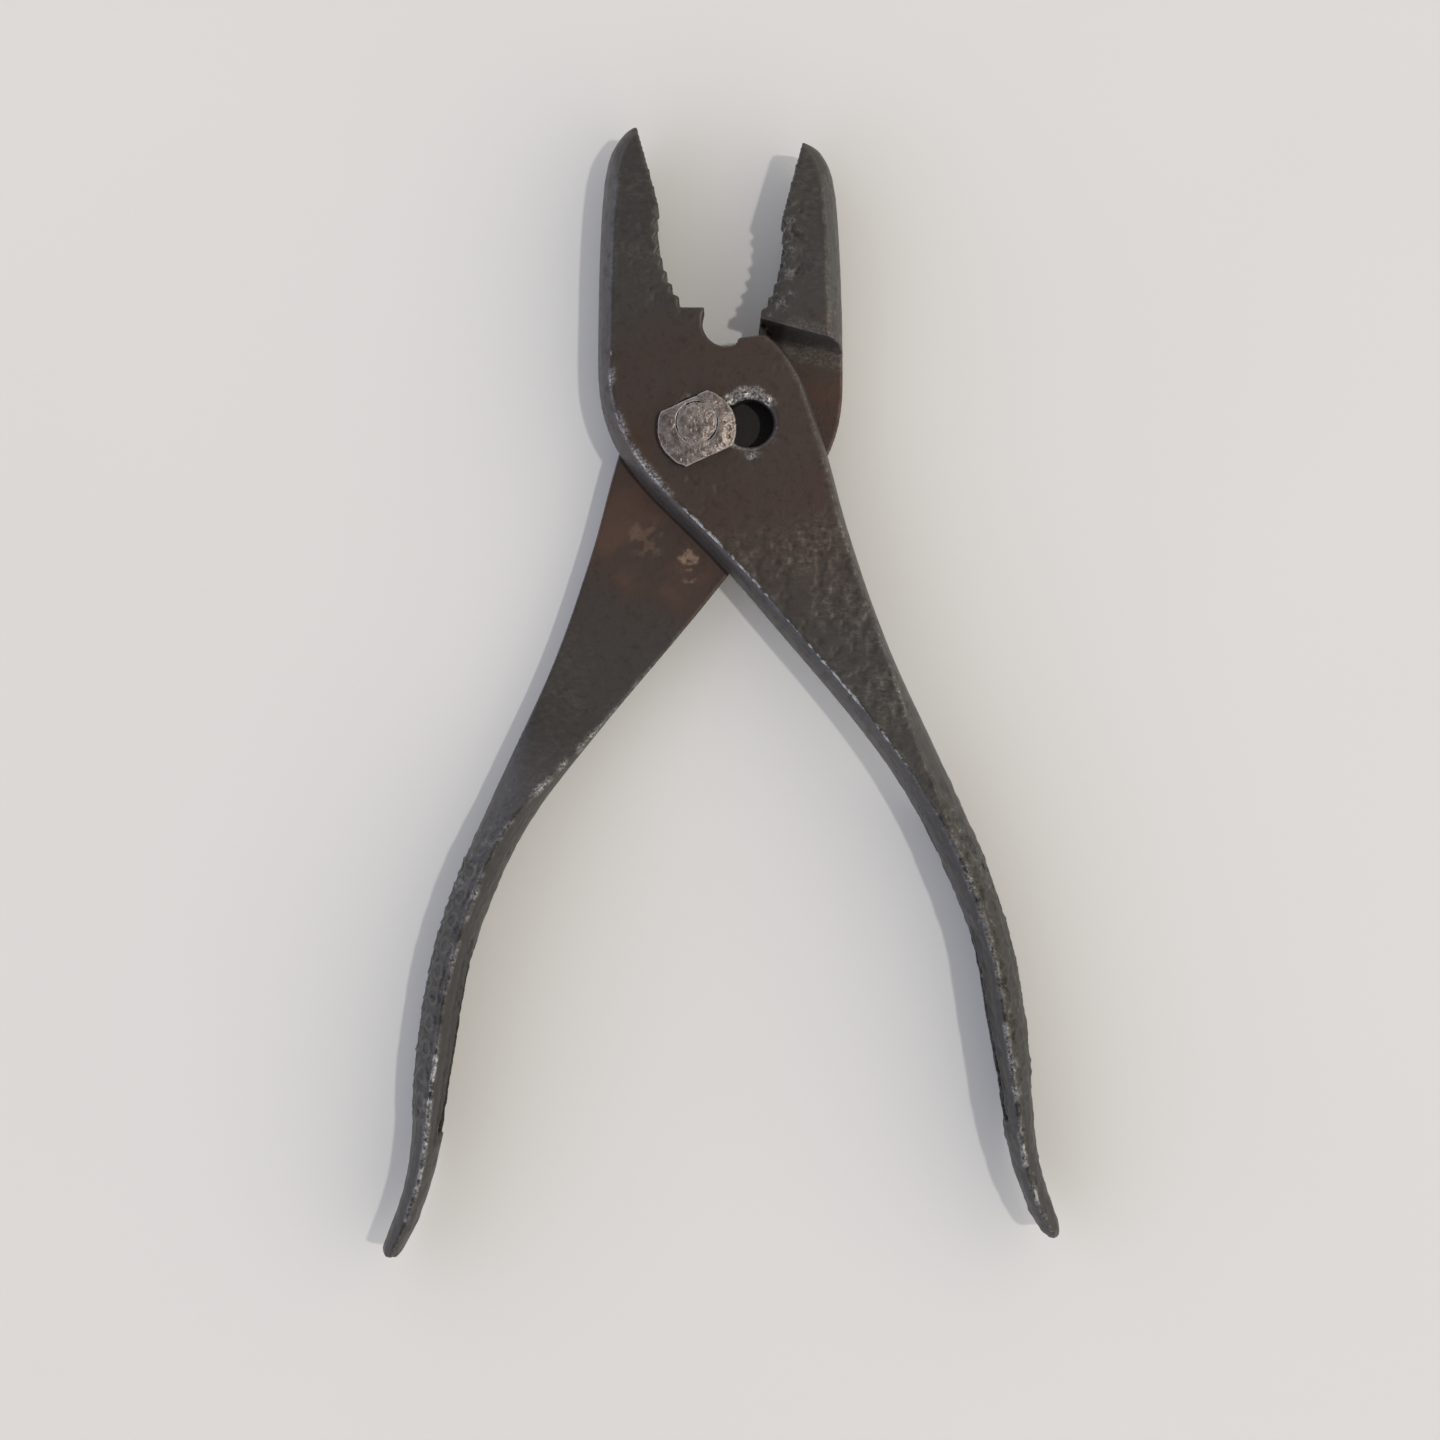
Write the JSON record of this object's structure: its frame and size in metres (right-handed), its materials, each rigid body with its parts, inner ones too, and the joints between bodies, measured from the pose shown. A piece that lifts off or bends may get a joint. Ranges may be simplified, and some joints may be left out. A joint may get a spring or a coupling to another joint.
{
  "type": "slip-joint combination pliers",
  "caption": "Forged steel hand pliers whose toothed jaws pivot on a pin that slips along a slot, with round-backed bowed handles, for gripping, turning and bending.",
  "frame": {"origin": "on the pivot pin's axis, at the outer face of its head, in the plane that the pliers rest on", "axes": "+Z out of the front face, towards the keeper washer; +Y from the pin towards the jaws; +X to the right seen from the front, pliers part open"},
  "size_m": [0.0946, 0.1575, 0.0125],
  "materials": {
    "front_lever_steel": "dark brown oxide patina over forged steel, edges worn bright",
    "rear_lever_steel": "dark brown oxide patina over forged steel, light rust in the recess",
    "pin_steel": "pitted worn steel, hammered end",
    "keeper_steel": "pitted worn steel"
  },
  "bodies": {
    "front_lever": {"front_lever": "front_lever_steel"},
    "pivot_pin": {"pivot_pin": "pin_steel"},
    "rear_lever": {"rear_lever": "rear_lever_steel", "keeper_washer": "keeper_steel"}
  },
  "joints": [
    {"name": "slip", "type": "slide", "parent": "front_lever", "child": "pivot_pin", "axis": [0.9999, 0.0105, 0], "range_m": [0, 0.0073]},
    {"name": "main_pivot", "type": "hinge", "parent": "pivot_pin", "child": "rear_lever", "pos_m": [0, 0, 0], "axis": [0, 0, 1], "range_deg": [-45, 31.2]}
  ]
}
